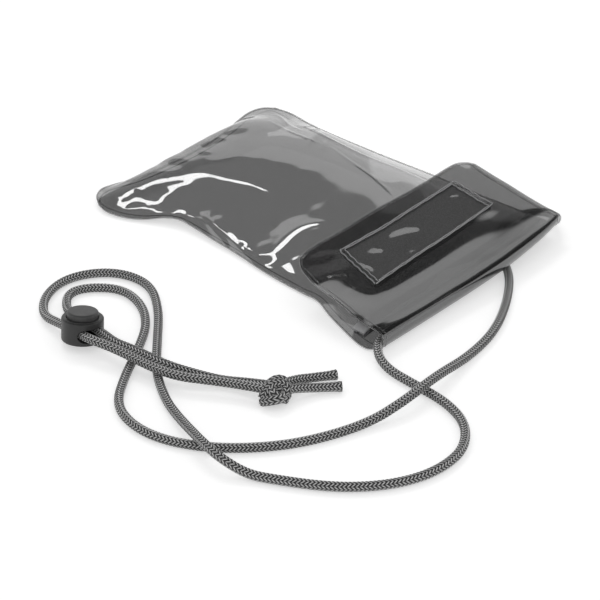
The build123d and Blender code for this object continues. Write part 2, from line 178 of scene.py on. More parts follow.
def ring_piece(name, line, rings):
    """Closed tube of rings of points, with a map of length along it and turn round it."""
    count, around = rings.shape[:2]
    verts = rings.reshape(-1, 3)
    faces = []
    for i in range(count - 1):
        for j in range(around):
            k = (j + 1) % around
            faces.append((i * around + j, i * around + k, (i + 1) * around + k, (i + 1) * around + j))
    faces.append(tuple(range(around)))
    faces.append(tuple((count - 1) * around + j for j in reversed(range(around))))
    mesh = bpy.data.meshes.new(name)
    mesh.from_pydata(verts.tolist(), [], faces)
    run = run_along(line)
    uv = mesh.uv_layers.new(name="lay")
    flat = np.zeros((len(mesh.loops), 2), np.float32)
    n = 0
    for i in range(count - 1):
        for j in range(around):
            flat[n : n + 4] = (
                (run[i], j / around),
                (run[i], (j + 1) / around),
                (run[i + 1], (j + 1) / around),
                (run[i + 1], j / around),
            )
            n += 4
    uv.data.foreach_set("uv", flat.ravel())
    mesh.polygons.foreach_set("use_smooth", [True] * len(mesh.polygons))
    mesh.update()
    return place(name, mesh)


def braided_tube(name, line, thick=CORD, step=0.00035, flare=0.0):
    """Round braid along a line: each column's stitches slant the other way to its neighbour's."""
    points, run = even_line(line, step)
    around = BRAID_COLUMNS * POINTS_PER_COLUMN
    turn = np.arange(around) / around
    column = np.floor(turn * BRAID_COLUMNS + 1e-6)
    across = turn * BRAID_COLUMNS - column - 0.5 + 0.5 / POINTS_PER_COLUMN
    way = np.where(column % 2 == 0, 1.0, -1.0)
    phase = run[:, None] / STITCH + (way * across)[None, :] * SLANT
    crest = 0.5 + 0.5 * np.cos(2 * math.pi * phase)
    body = crest * (1 - (2 * across[None, :]) ** 4 * YARN_ROUNDING)
    radius = thick / 2 - YARN_SINK + YARN_RISE * body
    if flare:
        radius = radius * (1 + flare * np.exp(-((run[-1] - run) / END_SWELLS_OVER) ** 2))[:, None]
    return ring_piece(name, points, round_rings(points, radius, 2 * math.pi * turn)), points


def new_material(name):
    """An empty material with its surface shader, its nodes and its links."""
    material = bpy.data.materials.new(name)
    material.use_nodes = True
    nodes = material.node_tree.nodes
    shader = nodes["Principled BSDF"]
    return material, nodes, material.node_tree.links, shader


def grain(nodes, links, scale, detail=2.0):
    """Fine noise all through a piece."""
    where = nodes.new("ShaderNodeTexCoord")
    noise = nodes.new("ShaderNodeTexNoise")
    noise.inputs["Scale"].default_value = scale
    noise.inputs["Detail"].default_value = detail
    links.new(where.outputs["Object"], noise.inputs["Vector"])
    return noise.outputs[0]


def relief(nodes, links, shader, height, strength, depth):
    """Makes a shader's surface rise and fall with a height, by a depth in metres."""
    bump = nodes.new("ShaderNodeBump")
    bump.inputs["Strength"].default_value = strength
    bump.inputs["Distance"].default_value = depth
    links.new(height, bump.inputs["Height"])
    links.new(bump.outputs[0], shader.inputs["Normal"])


def maths(nodes, links, kind, first, second=None, third=None):
    """One sum on numbers or on other nodes' outputs."""
    node = nodes.new("ShaderNodeMath")
    node.operation = kind
    for slot, value in enumerate((first, second, third)):
        if value is None:
            continue
        if isinstance(value, (int, float)):
            node.inputs[slot].default_value = value
        else:
            links.new(value, node.inputs[slot])
    return node.outputs[0]


def ramp(nodes, links, value, stops):
    """Colours along a value, from (place, grey) or (place, (r, g, b)) stops."""
    node = nodes.new("ShaderNodeValToRGB")
    while len(node.color_ramp.elements) < len(stops):
        node.color_ramp.elements.new(0.5)
    for element, (place, colour) in zip(node.color_ramp.elements, stops):
        element.position = place
        shade = (colour,) * 3 if isinstance(colour, float) else colour
        element.color = (*shade, 1.0)
    links.new(value, node.inputs[0])
    return node.outputs[0]


def braid_material():
    """Polyester yarn with fine filaments in each yarn; its colour has painted highlights on the stitches'
    crests and painted shade in the gaps.
    """
    material, nodes, links, shader = new_material("braided_cord")
    lay = nodes.new("ShaderNodeUVMap")
    lay.uv_map = "lay"
    split = nodes.new("ShaderNodeSeparateXYZ")
    links.new(lay.outputs[0], split.inputs[0])
    columns = maths(nodes, links, "MULTIPLY", split.outputs[1], float(BRAID_COLUMNS))
    whole = maths(nodes, links, "FLOOR", columns)
    part = maths(nodes, links, "SUBTRACT", maths(nodes, links, "SUBTRACT", columns, whole), 0.5)
    odd = maths(nodes, links, "MODULO", whole, 2.0)
    slant = maths(nodes, links, "MULTIPLY_ADD", odd, -2 * SLANT, SLANT)
    tilt = maths(nodes, links, "MULTIPLY", slant, part)
    along = maths(nodes, links, "DIVIDE", split.outputs[0], STITCH)
    phase = maths(nodes, links, "ADD", along, tilt)
    wave = maths(nodes, links, "COSINE", maths(nodes, links, "MULTIPLY", phase, 2 * math.pi))
    crest = maths(nodes, links, "MULTIPLY_ADD", wave, 0.5, 0.5)
    off_middle = maths(nodes, links, "ABSOLUTE", maths(nodes, links, "MULTIPLY", part, 2.0))
    edge = maths(nodes, links, "POWER", off_middle, 4.0)
    body = maths(nodes, links, "MULTIPLY", crest, maths(nodes, links, "MULTIPLY_ADD", edge, -0.7, 1.0))
    speck = maths(nodes, links, "MULTIPLY_ADD", grain(nodes, links, 2600.0), 0.5, -0.25)
    level = maths(nodes, links, "ADD", body, speck)
    # Colour follows the yarn's height: the pale crests are painted highlight and the dark gaps are painted
    # shade; the speck is random tone.
    colour = ramp(nodes, links, level, [(0.0, 0.012), (0.32, 0.06), (0.58, 0.28), (0.92, 0.78)])
    links.new(colour, shader.inputs["Base Color"])
    relief(nodes, links, shader, level, 0.7, 0.0003)
    shader.inputs["Roughness"].default_value = 0.55
    shader.inputs["Sheen Weight"].default_value = 0.25
    shader.inputs["Sheen Roughness"].default_value = 0.4
    return material


BRAID = braid_material()
neck_cord, neck_line = braided_tube("neck_cord_braid", spline_line("neck_line", NECK_CORD))
neck_cord.data.materials.append(BRAID)
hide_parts("neck_cord")
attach(neck_cord, "pouch_and_cord")

# Tails
# The cord's two short ends past the knot, cut hot, so that each end is a little swollen.
TAILS = {
    "cord_tail_1": [(76.9, -103.8, 4.8), (77.0, -97.4, 3.6), (79.6, -90.6, 2.2), (84.8, -82.4, 2.1)],
    "cord_tail_2": [(80.8, -105.0, 4.8), (82.4, -99.6, 3.6), (86.0, -93.4, 2.2), (91.4, -86.8, 2.1)],
}
for node, points in TAILS.items():
    tail, _ = braided_tube(node + "_braid", spline_line(node, points), flare=0.14)
    tail.data.materials.append(BRAID)
    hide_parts(node)
    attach(tail, "pouch_and_cord")

# Knot
# Six short turns of braid, side by side and over one another, stand for an overhand knot tied in
# both strands at once and pulled tight. Their ends are sunk in the bundle.
KNOT_BRAID = 0.0036
KNOT_TURNS = [
    [(74.6, -110.6, 3.5), (73.9, -106.6, 5.9), (76.4, -102.9, 6.5), (79.6, -103.6, 4.8), (79.2, -108, 2.2)],
    [(76.2, -112.9, 2.8), (75.2, -109.8, 6.1), (78.4, -105.2, 7.1), (81.6, -104.8, 5.1), (81.8, -108.6, 2.2)],
    [(73.2, -107.2, 3.1), (77, -109.6, 5.4), (81.4, -111.2, 4.5), (83, -107.4, 2.8)],
    [(76.8, -113.8, 1.9), (80.6, -113.4, 3.8), (82.8, -109.8, 4.2), (81.4, -105.6, 2.8)],
    [(73.8, -104.8, 2), (75.6, -101.8, 3.3), (79.2, -101.6, 3.3), (80.2, -105.2, 2.2)],
    [(75.2, -109.0, 3.6), (77.4, -107.6, 4.6), (79.8, -106.6, 4.4), (81.6, -105.4, 3.0)],
]
for number, points in enumerate(KNOT_TURNS, 1):
    turn, _ = braided_tube(f"knot_turn_{number}", spline_line(f"knot_{number}", points), thick=KNOT_BRAID)
    turn.data.materials.append(BRAID)
    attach(turn, "pouch_and_cord")
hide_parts("cord_knot")


# Cord lock
# A moulded barrel with a push button in it. The button's skirt pinches both strands against the
# barrel's window, and a coil spring under it keeps them pinched.
def moulded_plastic(name, colour, rough):
    """Spark-finished moulding: fine matt grain and a faint mottle."""
    material, nodes, links, shader = new_material(name)
    mottle = ramp(nodes, links, grain(nodes, links, 260.0), [(0.3, colour * 0.85), (0.7, colour * 1.15)])
    links.new(mottle, shader.inputs["Base Color"])
    relief(nodes, links, shader, grain(nodes, links, 3800.0, 3.0), 0.25, 0.00006)
    shader.inputs["Roughness"].default_value = rough
    return material


def dress(node, material):
    """Gives a carried-over part its finish."""
    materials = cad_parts[node].data.materials
    materials.clear()
    materials.append(material)


dress("cord_lock_barrel", moulded_plastic("lock_barrel_plastic", 0.022, 0.42))
dress("cord_lock_button", moulded_plastic("lock_button_plastic", 0.060, 0.48))

# Cord lock spring
# It stands on the barrel's floor and is wound here as a coil of five turns of wire.
spring_steel, _, _, spring_shader = new_material("spring_steel")
spring_shader.inputs["Base Color"].default_value = (0.55, 0.55, 0.56, 1)
spring_shader.inputs["Metallic"].default_value = 1.0
spring_shader.inputs["Roughness"].default_value = 0.3
COIL_FOOT = Vector((-0.002811, -0.130886, 0.002208))
COIL_UP = Vector((-0.089455, 0.160232, 0.983018))
COIL_LENGTH = 0.0078
COIL_RADIUS = 0.0012
COIL_WIRE = 0.0004
COIL_TURNS = 5
COIL_STEPS = 30 * COIL_TURNS
WIRE_SIDES = 10
coil_side = COIL_UP.orthogonal().normalized()
coil_across = COIL_UP.cross(coil_side)
coil_points = []
for step in range(COIL_STEPS + 1):
    angle = 2 * math.pi * COIL_TURNS * step / COIL_STEPS
    outward = coil_side * math.cos(angle) + coil_across * math.sin(angle)
    height = COIL_WIRE / 2 + (COIL_LENGTH - COIL_WIRE) * step / COIL_STEPS
    middle = COIL_FOOT + COIL_UP * height + outward * COIL_RADIUS
    for side in range(WIRE_SIDES):
        round_wire = 2 * math.pi * side / WIRE_SIDES
        rim = outward * math.cos(round_wire) + COIL_UP * math.sin(round_wire)
        coil_points.append(middle + rim * (COIL_WIRE / 2))
last_ring = range(COIL_STEPS * WIRE_SIDES, len(coil_points))
coil_faces = [tuple(range(WIRE_SIDES)), tuple(reversed(last_ring))]
for step in range(COIL_STEPS):
    for side in range(WIRE_SIDES):
        here = step * WIRE_SIDES + side
        beside = step * WIRE_SIDES + (side + 1) % WIRE_SIDES
        coil_faces.append((here, here + WIRE_SIDES, beside + WIRE_SIDES, beside))
coil_mesh = bpy.data.meshes.new("lock_spring_coil")
coil_mesh.from_pydata(coil_points, [], coil_faces)
coil_mesh.polygons.foreach_set("use_smooth", [True] * len(coil_faces))
lock_spring = place("lock_spring_coil", coil_mesh)
lock_spring.data.materials.append(spring_steel)
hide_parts("cord_lock_spring")
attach(lock_spring, "lock_barrel")
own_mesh(lock_spring)


# Pouch rim
# The two films are welded together all round along a thin double line. The line lies low at the
# near side, where the film is drawn in, and stands up at the two closed corners.
NEAR_RIM = [
    (82, -58.6, 0.9), (79.5, -60.0, 0.8), (74, -59.4, 0.7), (64.5, -56.4, 0.7), (53.4, -52.4, 0.7),
    (43, -48.0, 0.8), (34, -47.8, 0.8), (23, -47.4, 0.8), (11, -46.7, 1.0), (-4, -45.0, 1.4),
    (-16, -44.3, 1.8), (-29, -43.6, 2.4), (-39, -43.8, 3.4), (-46, -46.5, 3.2), (-52, -50.6, 1.8),
    (-58, -54.2, 1.2), (-64.5, -57.0, 1.1), (-70.7, -58.1, 1.5), (-76, -57.3, 2),
]
CLOSED_RIM = [
    (-76, -57.3, 2), (-81.2, -53.8, 3), (-83.2, -49.3, 3.8), (-82.6, -42.5, 3.6), (-81, -30, 2.6),
    (-80.4, -10, 2.4), (-80.6, 8, 3.0), (-81.2, 22, 4.6), (-82.3, 33.3, 6.8), (-82.6, 40.4, 8),
    (-81.3, 47.5, 8), (-77.3, 52.2, 7.5),
]
FAR_RIM = [
    (78, 57.2, 6.0), (60, 57.4, 5.5), (40, 57.3, 4.8), (15, 57, 4.8), (-10.5, 55.7, 4.8),
    (-28, 55.2, 4.8), (-40, 55.0, 4.8), (-52.7, 54.9, 5), (-61, 54.4, 6), (-70.2, 54.2, 7),
    (-77.3, 52.2, 7.5),
]
MOUTH_RIM = [
    (82, -58.6, 0.9), (82.3, -40, 1.2), (82.6, -20, 1.8), (82.8, 0, 2.7), (82.4, 20, 4.0),
    (80.6, 42, 5.6), (78, 57.2, 6.0),
]
RIM_SPOTS = 22
SPAN_SAMPLES = 16


def between(a, b, c, d, t):
    """Point on the smooth curve from b to c that comes from a and goes on to d."""
    bend = (2 * a - 5 * b + 4 * c - d) * t**2
    return 0.5 * (2 * b + (c - a) * t + bend + (3 * b - a - 3 * c + d) * t**3)


def smooth_line(points, count):
    """Smooth line through chosen points, with its samples evenly apart."""
    p = np.asarray(points, float)
    ends = np.vstack([2 * p[0] - p[1], p, 2 * p[-1] - p[-2]])
    fine = []
    for i in range(len(p) - 1):
        fine += [between(*ends[i : i + 4], t) for t in np.linspace(0, 1, SPAN_SAMPLES, endpoint=False)]
    fine.append(p[-1])
    return spread(np.array(fine), count)[0]


def patch(near, far, closed, mouth, rows, columns):
    """Even sheet between four edge lines, from the mouth to the closed end and from near to far."""
    a, b = smooth_line(near, rows), smooth_line(far, rows)
    c, d = smooth_line(mouth, columns), smooth_line(closed, columns)
    u = np.linspace(0, 1, rows)[:, None, None]
    v = np.linspace(0, 1, columns)[None, :, None]
    ruled = (1 - v) * a[:, None] + v * b[:, None] + (1 - u) * c[None] + u * d[None]
    corners = (1 - u) * (1 - v) * a[0] + u * (1 - v) * a[-1] + (1 - u) * v * b[0] + u * v * b[-1]
    return ruled - corners


def stretched_heights(points, where):
    """Height at each place in plan of a thin sheet bent through the chosen points."""
    p = np.asarray(points, float)

    def bend(a, b):
        d2 = ((a[:, None, :2] - b[None, :, :2]) ** 2).sum(-1)
        return d2 * np.log(d2 + 1e-9) / 2

    n = len(p)
    flat = np.hstack([np.ones((n, 1)), p[:, :2]])
    full = np.block([[bend(p, p) + np.eye(n), flat], [flat.T, np.zeros((3, 3))]])
    w = np.linalg.solve(full, np.concatenate([p[:, 2], [0, 0, 0]]))
    at = where.reshape(-1, where.shape[-1])
    z = bend(at, p) @ w[:n] + w[n] + at[:, :2] @ w[n + 1 :]
    return z.reshape(where.shape[:-1])


def grid_faces(rows, columns, start=0):
    """Four-cornered faces between the points of a grid."""
    corners = [start + i * columns + j for i in range(rows - 1) for j in range(columns - 1)]
    return [(k, k + 1, k + columns + 1, k + columns) for k in corners]


def sheet_piece(name, grids):
    """One piece of several grids of points in millimetres."""
    verts, faces = [], []
    for grid in grids:
        faces += grid_faces(*grid.shape[:2], start=len(verts))
        verts += (grid.reshape(-1, 3) / 1000).tolist()
    mesh = bpy.data.meshes.new(name)
    mesh.from_pydata(verts, [], faces)
    mesh.polygons.foreach_set("use_smooth", [True] * len(mesh.polygons))
    mesh.update()
    return place(name, mesh)


GLOSS_HEAD_ON = 0.125
GLOSS_ADDED_GRAZING = 0.86


def film_material(name, colour, alpha, rough):
    """Smoke-tinted soft film: see-through, with a clear gloss and the faint waviness of rolled sheet."""
    material, nodes, links, shader = new_material(name)
    shader.inputs["Base Color"].default_value = (colour, colour, colour * 1.02, 1)
    shader.inputs["Alpha"].default_value = alpha
    shader.inputs["Roughness"].default_value = 0.5
    shader.inputs["Specular IOR Level"].default_value = 0.0
    gloss = nodes.new("ShaderNodeBsdfGlossy")
    gloss.inputs["Color"].default_value = (1, 1, 1, 1)
    gloss.inputs["Roughness"].default_value = rough
    relief(nodes, links, gloss, grain(nodes, links, 55.0, 1.5), 0.05, 0.0006)
    weight = nodes.new("ShaderNodeLayerWeight")
    rise = maths(nodes, links, "POWER", weight.outputs["Facing"], 5.0)
    share = maths(nodes, links, "MULTIPLY_ADD", rise, GLOSS_ADDED_GRAZING, GLOSS_HEAD_ON)
    mix = nodes.new("ShaderNodeMixShader")
    links.new(share, mix.inputs[0])
    links.new(shader.outputs[0], mix.inputs[1])
    links.new(gloss.outputs[0], mix.inputs[2])
    links.new(mix.outputs[0], nodes["Material Output"].inputs["Surface"])
    return material


FILM = film_material("smoke_film", 0.010, 0.55, 0.055)
WELD = film_material("welded_film", 0.012, 0.32, 0.16)

# Back film
# The outer film: it lies on the table, rises to the rim and goes on round the outside of the fold
# as the flap's upper side.
UNDER = [
    (-72, -44, 1.6), (-60, -40, 0.5), (-40, -34, 0.35), (0, -36, 0.3), (36, -38, 0.3), (60, -44, 0.4),
    (-74, 0, 1.2), (-60, 0, 0.3), (0, 0, 0.3), (40, 0, 0.3), (66, -20, 0.6), (70, 10, 1.6),
    (-72, 40, 2.4), (-60, 38, 0.6), (-30, 42, 0.4), (0, 44, 0.4), (36, 46, 0.6), (64, 44, 3.2),
    (76, -20, 1.0), (76, 10, 2.4),
]
FLAP = [
    [(81, -58.2, 0.4), (80.8, -40, 0.4), (81.0, -20, 1.0), (81.2, 0, 1.9), (81.2, 20, 3.2),
     (80.0, 42, 5), (77.4, 57.2, 5.5)],
    [(84.4, -57.9, 1.2), (84.2, -40, 1.3), (84.3, -20, 1.9), (84.6, 0, 2.9), (84.4, 20, 4.2),
     (82.8, 42, 6), (79.8, 57.4, 6.4)],
    [(85.6, -57.7, 3.4), (85.3, -40, 3.6), (85.5, -20, 4.2), (85.8, 0, 5.2), (85.6, 20, 6.5),
     (84.2, 42, 8.2), (81.4, 57.5, 8.7)],
    [(85.5, -57.6, 7.2), (85.5, -40, 7.6), (85.7, -20, 8.0), (86.0, 0, 8.5), (85.7, 20, 9.4),
     (84.1, 42, 10.6), (81.5, 57.5, 10.9)],
    [(84.2, -57.6, 8.2), (84.2, -40, 8.4), (84.4, -20, 8.6), (84.7, 0, 9.15), (84.4, 20, 10.05),
     (82.8, 42, 11.1), (80.4, 57.5, 11.5)],
    [(80.2, -57.5, 8.9), (80.2, -40, 8.5), (80.4, -20, 8.7), (80.7, 0, 9.2), (80.4, 20, 10.1),
     (79.2, 42, 11.2), (77.2, 57.5, 11.7)],
    [(73, -57.4, 9.8), (73, -42, 8.75), (73, -20, 8.75), (73, 0, 9.25), (73, 20, 10.15),
     (73, 42, 11.3), (72.3, 57.5, 12.1)],
    [(64, -57, 12.2), (64, -42, 9.4), (64, -20, 8.95), (64, 0, 9.35), (64, 20, 10.2),
     (64, 42, 11.75), (64, 57.6, 13.2)],
    [(55, -56.2, 13.3), (54, -42, 12.0), (54, -20, 11.0), (54, 0, 11.3), (54, 20, 11.4),
     (54, 42, 12.0), (54, 57.7, 14.9)],
    [(48, -55.2, 13.7), (46, -42, 13.7), (46, -20, 13.2), (46, 0, 13.6), (46, 20, 13.7),
     (46, 42, 14.2), (46, 57.7, 16.1)],
    [(42.5, -54, 14.9), (39, -42, 16), (38.5, -20, 15.7), (38, 0, 15.7), (38, 20, 15.9),
     (38, 40, 16.6), (39, 57.6, 17.4)],
    [(39, -53, 16.1), (36.4, -51, 17.3), (34.9, -48, 18.6), (34, -38.5, 19.4), (32.8, -21, 18.8),
     (32, -4.4, 19.1), (31.5, 12.6, 18.7), (31, 30, 18.6), (31, 45.2, 19.6), (31.2, 51, 19.4),
     (32.4, 56, 18.2), (35.6, 57.5, 18.1)],
]


def loft_rows(rows, count, columns):
    """Smooth sheet through lines of points: each line evenly spread, then joined row to row."""
    lines = np.array([smooth_line(row, columns) for row in rows])
    last = len(rows) - 1
    ends = np.concatenate([2 * lines[:1] - lines[1:2], lines, 2 * lines[-1:] - lines[-2:-1]])
    out = []
    for spot in np.linspace(0, last, count):
        i = min(int(spot), last - 1)
        out.append(between(*ends[i : i + 4], spot - i))
    return np.array(out)


def rim_heights():
    """The rim's own points, which every film keeps to."""
    spots = []
    for line in (NEAR_RIM, CLOSED_RIM, FAR_RIM, MOUTH_RIM):
        spots += [tuple(v) for v in smooth_line(line, RIM_SPOTS)[:-1]]
    return spots


FOLLOWED_POINTS = 24


def far_from(grid, points):
    """Distance in plan from each place to a line of points, and how far along the line it is."""
    p = smooth_line([(x, y, 0) for x, y in points], FOLLOWED_POINTS)[:, :2]
    at = grid[..., None, :2]
    a, step = p[:-1], np.diff(p, axis=0)
    t = np.clip(((at - a) * step).sum(-1) / (step**2).sum(-1), 0, 1)
    gap = np.linalg.norm(at - (a + t[..., None] * step), axis=-1)
    best = gap.argmin(-1)
    part = np.take_along_axis(t, best[..., None], -1)[..., 0]
    side = np.cross(step[best], grid[..., :2] - a[best])
    return gap.min(-1) * np.sign(side), (best + part) / len(a)


def crease(grid, height, width, points):
    """Raises a soft ridge of film along a line, which dies away towards both its ends."""
    gap, along = far_from(grid, points)
    dies_away = np.sin(math.pi * np.clip(along, 0.02, 0.98)) ** 0.5
    grid[..., 2] += height * np.exp(-((gap / width) ** 2)) * dies_away


def ledge(grid, falls, widths, points):
    """Tips the film along a line by angles in degrees, in bands that change in width along it."""
    gap, along = far_from(grid, points)
    fall = np.interp(along, np.linspace(0, 1, len(falls)), falls)
    width = np.interp(along, np.linspace(0, 1, len(widths)), widths)
    grid[..., 2] += np.tan(np.radians(fall)) * gap * np.exp(-((gap / width) ** 2))


ROWS, COLUMNS = 201, 121
FLAP_ROWS, FLAP_COLUMNS = 271, 161
OUT_OF_FOLD = 34
TABLE_GAP = 0.3
FLAP_LEDGES = [
    ([0, -17, -18, -17, 0], 5.4,
     [(46.5, -28.5), (47.1, -20.6), (48.1, -15.0), (45.4, -6.9), (45.9, -0.8), (47.7, 6.2), (47.7, 14.4)]),
    ([0, -14, -14, 0], 4.8,
     [(57.2, -34.1), (56.5, -23.7), (56.3, -14.5), (55.4, -7.3), (55.6, 2.2), (58.2, 8.4)]),
    ([0, -17, 0], 2.8, [(50.0, -31.0), (51.5, -28.6), (53.0, -26.7)]),
    ([0, -16, 0], 3.0, [(42.3, 28.5), (42.9, 32.5), (43.7, 41.7)]),
]
plan = patch(NEAR_RIM, FAR_RIM, CLOSED_RIM, MOUTH_RIM, ROWS, COLUMNS)
back_grid = plan.copy()
back_grid[..., 2] = np.maximum(stretched_heights(UNDER + rim_heights(), plan), TABLE_GAP)
flap_grid = loft_rows(FLAP, FLAP_ROWS, FLAP_COLUMNS)
for falls, width, points in FLAP_LEDGES:
    ledge(flap_grid, falls, [width], points)
back_film = sheet_piece("back_film", [back_grid, flap_grid])
back_film.data.materials.append(FILM)
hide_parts("back_sheet")
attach(back_film, "pouch_and_cord")

# Front film
# The inner film: raised over the pocket with an easy crown, sloping down to the zip, and folded
# back under the flap's outer film.
FRONT = [
    (-76.5, -50, 5.2), (-76, -45, 6.4), (-75.4, -40, 7.6), (-75.2, -34, 8.3), (-75, -28, 9),
    (-74.9, -21, 9.6), (-74.8, -14, 10.2), (-74.8, -7, 10.7), (-74.8, 0, 11.1), (-74.8, 7, 11.6),
    (-75, 14, 11.5), (-75.3, 21, 11.2), (-75.7, 28, 10.9), (-76, 35, 10), (-75.8, 41, 9.3),
    (-75, 47, 8.6), (-79.6, -44, 5.1), (-79.1, -36, 5.5), (-78.6, -28, 5.7), (-78.4, -20, 5.9),
    (-78.3, -12, 6.2), (-78.3, -4, 6.6), (-78.3, 4, 7), (-78.5, 12, 7.4), (-78.7, 20, 7.7),
    (-79.1, 28, 8.2), (-79.4, 36, 8.5), (-50, 14, 13.2), (-60, 24, 12.9), (-62, 38, 11.4),
    (-40, 22, 13.2), (-40, 34, 12.6), (-43.4, 45.7, 10.6), (-15, 24, 13.2), (-18, 36, 12.2),
    (-25.6, 43.5, 10.6), (10, 22, 12.8), (5, 36, 11.8), (6, 45, 9.8), (30, 22, 12.2), (26, 38, 11.2),
    (28, 47, 8.8), (38, -40, 6.4), (40, -30, 8.2), (47, -31, 7.8), (55, -33, 6.4), (40, -10, 10),
    (47, -10, 9.4), (55, -10, 7.3), (40, 15, 11.6), (47, 15, 9.5), (55, 15, 7.5), (39, 40, 11.8),
    (47, 42, 9.8), (55, 43, 7.9), (60, -48, 4.2), (61, -20, 6.2), (61, 10, 6.6), (60, 50, 7.2),
    (72, -52, 5.2), (72, -20, 6.4), (72, 10, 7.2), (72, 42, 8.6), (78, -55, 2.2), (79, -20, 3.6),
    (79, 10, 4.6), (78, 42, 6.6), (-26, -38, 6.4), (-16, -39, 5.6), (-8, -39.5, 5.2), (2, -41, 4.6),
    (-66, 6, 12.2), (-60, -6, 11.7), (-68, -22, 10), (-52, -4, 12.3), (-70, -10, 10.9), (-62, -44, 5.9),
    (-50, -38, 6.9),
]
FACING = [
    (-62.1, -40.4, 21, -3), (-56.8, -36, 21, -3), (-67.2, -47.3, 17, -3), (-68.6, -50.7, 17, -3),
    (-49.2, -23.1, 8, -3), (-43.8, -28.4, 8, -3), (-37.5, -34.5, 8, -3), (-56.9, -15.6, 8, -3),
    (-49.3, -12.2, 8, -3), (-42.1, -19.4, 8, -3), (-36.2, -25.2, 8, -3), (-29.1, -32.2, 8, -3),
    (-42, -9.1, 8, -3), (-34.3, -16.9, 8, -3), (-27.5, -23.7, 8, -3), (-21.4, -29.8, 8, -3),
    (-34.8, -6.1, 8, -3), (-26.6, -14.4, 8, -3), (-19.8, -21.3, 8, -3), (-25.3, -4.8, 8, -3),
    (-17.7, -12.7, 8, -3), (-16.3, -3.2, 8, -3), (-4.3, -5.3, 8, -3), (-38, -40, 8, -3),
    (-50.1, -30.6, 8, -3), (-43.3, -34.8, 8, -3), (-35.3, -29.6, 8, -3), (-21.3, -35.2, 8, -3),
    (-13.8, -32.2, 8, -3), (-29.5, -27.1, 8, -3), (22.1, -25.7, 8.5, -3), (26, -19.6, 8.5, -3),
    (29.1, -14, 8.5, -3), (19.2, -32, 8.5, -3), (18.5, -38.3, 8.5, -3), (31.2, -31.2, 8.5, -3),
    (19.1, -9.2, 8.5, -3), (11.8, -44.2, 8.5, -8), (9.7, -37.9, 8.5, -8), (8.1, -31.5, 8.5, -8),
    (7.2, -25.3, 8.5, -8), (7.6, -19.8, 8.5, -8), (-47.2, -38.1, 8.5, -3), (-42.8, -38.8, 8.5, -3),
    (-36.4, -37.9, 8.5, -3), (-29.3, -37.9, 8.5, -3), (-23.6, -38.2, 8.5, -3), (-18.2, -38.9, 8.5, -3),
    (-13.7, -38.7, 8.5, -3), (-7.8, -39.9, 8.5, -3), (-1.9, -40.7, 8.5, -3),
]
LEANING = [
    (-69.5, -53.3, 12), (-70.3, -49.1, 12), (-70.4, -45, 12), (-69, -41.5, 12), (-67.3, -38.1, 12),
    (-65.4, -34.8, 12), (-63.2, -31.6, 12), (-61.1, -28.3, 12), (-58.8, -25.1, 12), (-56.7, -21.8, 12),
    (-72.6, -47.6, 9), (-67.8, -51.4, 18), (-72.5, -41.8, 9), (-67.6, -45.7, 18), (-70.3, -36.9, 9),
    (-65.4, -41, 18), (-67.6, -32.2, 9), (-62.7, -36.3, 18), (-64.7, -27.6, 9), (-59.7, -31.8, 18),
    (-61.6, -23.1, 9), (-56.6, -27.3, 18), (-69, -53.7, 12.5), (-66.5, -51.5, 12.5), (-64.4, -49, 12.5),
    (-61.8, -46.8, 12.5), (-59, -45, 12.5), (-55.8, -43.5, 12.5), (-52.2, -42.5, 12.5),
    (-48.1, -41.9, 12.5), (-67.4, -48.9, 18), (-64.1, -45.6, 18), (-60, -43, 18), (-55.5, -41.1, 18),
    (-63.4, -52.6, 8), (-60, -49.5, 8), (-56, -46.8, 8), (-51.4, -45, 8), (-45.9, -44.1, 8),
    (4.4, -41.2, 1.5), (0.9, -34.2, 1.5), (-0.8, -27.1, 1.5), (-0.7, -20, 1.5), (1.5, -15.7, 1.5),
    (14.8, -40.3, 9), (13.5, -34.2, 9), (12.9, -27.8, 9), (13.4, -22.3, 9), (-2.5, -41.2, 8),
    (-7, -33.2, 8), (-9, -25.2, 8), (-8.1, -17.1, 8), (-2.6, -11.5, 8), (6.3, -8.8, 8),
    (25.8, -34.2, 8), (29.8, -29.1, 8), (22.9, -37, 8), (21.8, -16.3, 8), (17.8, -7.7, 8),
    (11.5, 2.2, 8), (-19.5, -31.8, 8), (-18.7, -38.4, 8), (-65.4, -4.3, -1), (-59.5, 4, -1),
    (-66.9, 9.5, -1), (-90.7, 26.2, -1), (-63.1, 12.6, -1), (-70.3, 2.4, -1), (-69.7, -5.6, -1),
    (-69.2, -11, -1), (-73.3, -20.9, 3), (-69.1, -15.9, 3), (-61.8, -7.8, 3), (-53.5, -0.7, 3),
    (-43.9, 5, 3), (-35.7, 9, 3), (-22.1, 12.2, 3), (-7.6, 13.6, 3), (6.7, 13.6, 3), (-72.2, -6.8, 0.5),
    (-64.7, 1.1, 0.5), (-55.7, 7.7, 0.5), (-45.9, 11.3, 0.5), (-28.9, 17.6, 0.5), (-94.4, -10.7, 0.5),
    (-91.8, -26.4, 3), (-91.4, -19.6, 3), (-90.3, -13.3, 3),
]
HEIGHT_SLACK = 60
SLOPE_SLACK = 0.6
FILM_GAP = 0.7
NEAR_WAY = np.array((math.sin(TURN), -math.cos(TURN)))
SIDE_WAY = np.array((math.cos(TURN), math.sin(TURN)))


